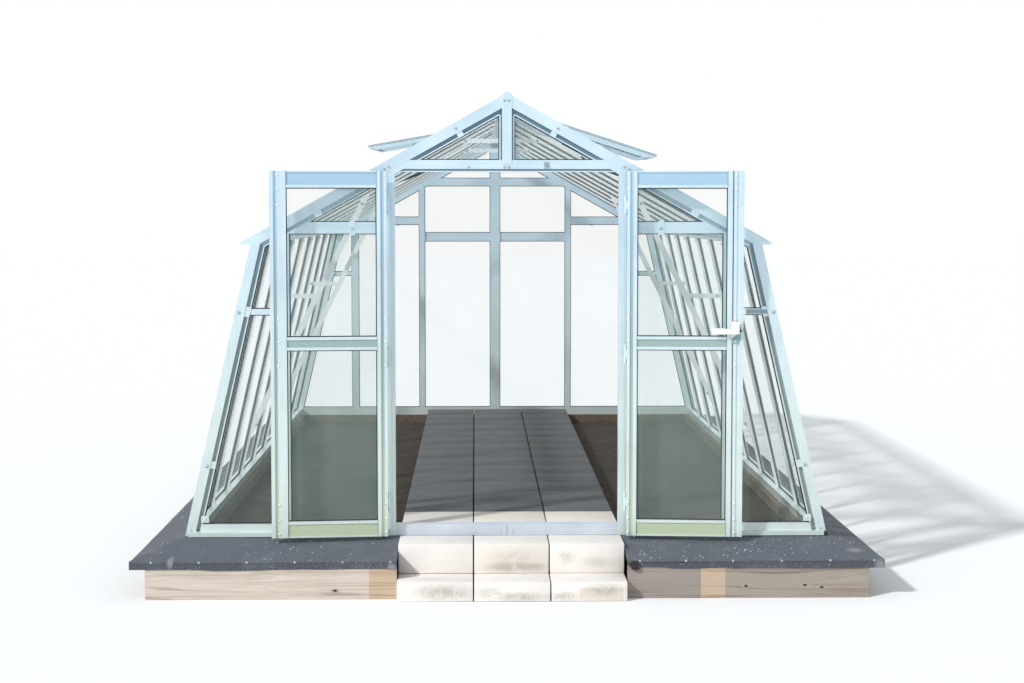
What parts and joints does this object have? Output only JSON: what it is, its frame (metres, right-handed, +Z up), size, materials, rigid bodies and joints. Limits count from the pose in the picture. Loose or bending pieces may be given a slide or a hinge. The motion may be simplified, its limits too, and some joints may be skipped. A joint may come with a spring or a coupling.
{
  "type": "glass greenhouse",
  "caption": "Walk-in glass greenhouse in bare aluminium with walls that lean inwards, hinged double doors, open roof vents, a felted timber base and a block step.",
  "frame": {"origin": "on the ground under the middle of the glasshouse", "axes": "+X to the right seen from the front, +Y from the front to the rear, +Z up"},
  "size_m": [3.51, 6.133, 2.364],
  "materials": {
    "aluminium": "mill finish, slightly dulled",
    "glass": "clear float glass",
    "timber": "weathered bare softwood",
    "felt": "mineral roofing felt",
    "concrete": "pale cast concrete, stained",
    "dark_concrete": "dark damp concrete",
    "soil": "bare soil",
    "white_plastic": "white moulded plastic"
  },
  "bodies": {
    "building": {"front_planks": "timber", "side_planks": "timber", "rear_plank": "timber", "bearers": "timber", "bed_fill": "soil", "front_ledge": "felt", "side_ledge": "felt", "rear_ledge": "felt", "lower_step": "concrete", "upper_step": "concrete", "doorway_paving": "concrete", "aisle_paving": "dark_concrete", "gable_sills": "aluminium", "threshold": "aluminium", "side_sills": "aluminium", "gable_posts": "aluminium", "gable_rafters": "aluminium", "tie_beams": "aluminium", "king_posts": "aluminium", "front_jambs": "aluminium", "side_mullions": "aluminium", "rear_mullions": "aluminium", "front_rails": "aluminium", "rear_rails": "aluminium", "ridge": "aluminium", "eaves": "aluminium", "left_wall_bars": "aluminium", "right_wall_bars": "aluminium", "left_roof_bars": "aluminium", "right_roof_bars": "aluminium", "knee_braces": "aluminium", "collar_ties": "aluminium", "left_wall_glass": "glass", "right_wall_glass": "glass", "left_roof_glass": "glass", "right_roof_glass": "glass", "front_glass": "glass", "rear_glass": "glass", "vent_trimmers": "aluminium", "vent_frames": "aluminium", "vent_glass": "glass", "vent_stays": "aluminium", "hinge_pins": "aluminium"},
    "left_door": {"left_door_frame": "aluminium", "left_door_glass": "glass", "left_door_knuckles": "aluminium"},
    "right_door": {"right_door_frame": "aluminium", "right_door_glass": "glass", "right_door_knuckles": "aluminium", "right_door_handle": "white_plastic"}
  },
  "joints": [
    {"name": "left_door_hinge", "type": "hinge", "parent": "building", "child": "left_door", "pos_m": [-0.565, -2.785, 1.115], "axis": [0, 0, 1], "range_deg": [0, 175]},
    {"name": "right_door_hinge", "type": "hinge", "parent": "building", "child": "right_door", "pos_m": [0.565, -2.785, 1.115], "axis": [0, 0, -1], "range_deg": [0, 175]}
  ]
}
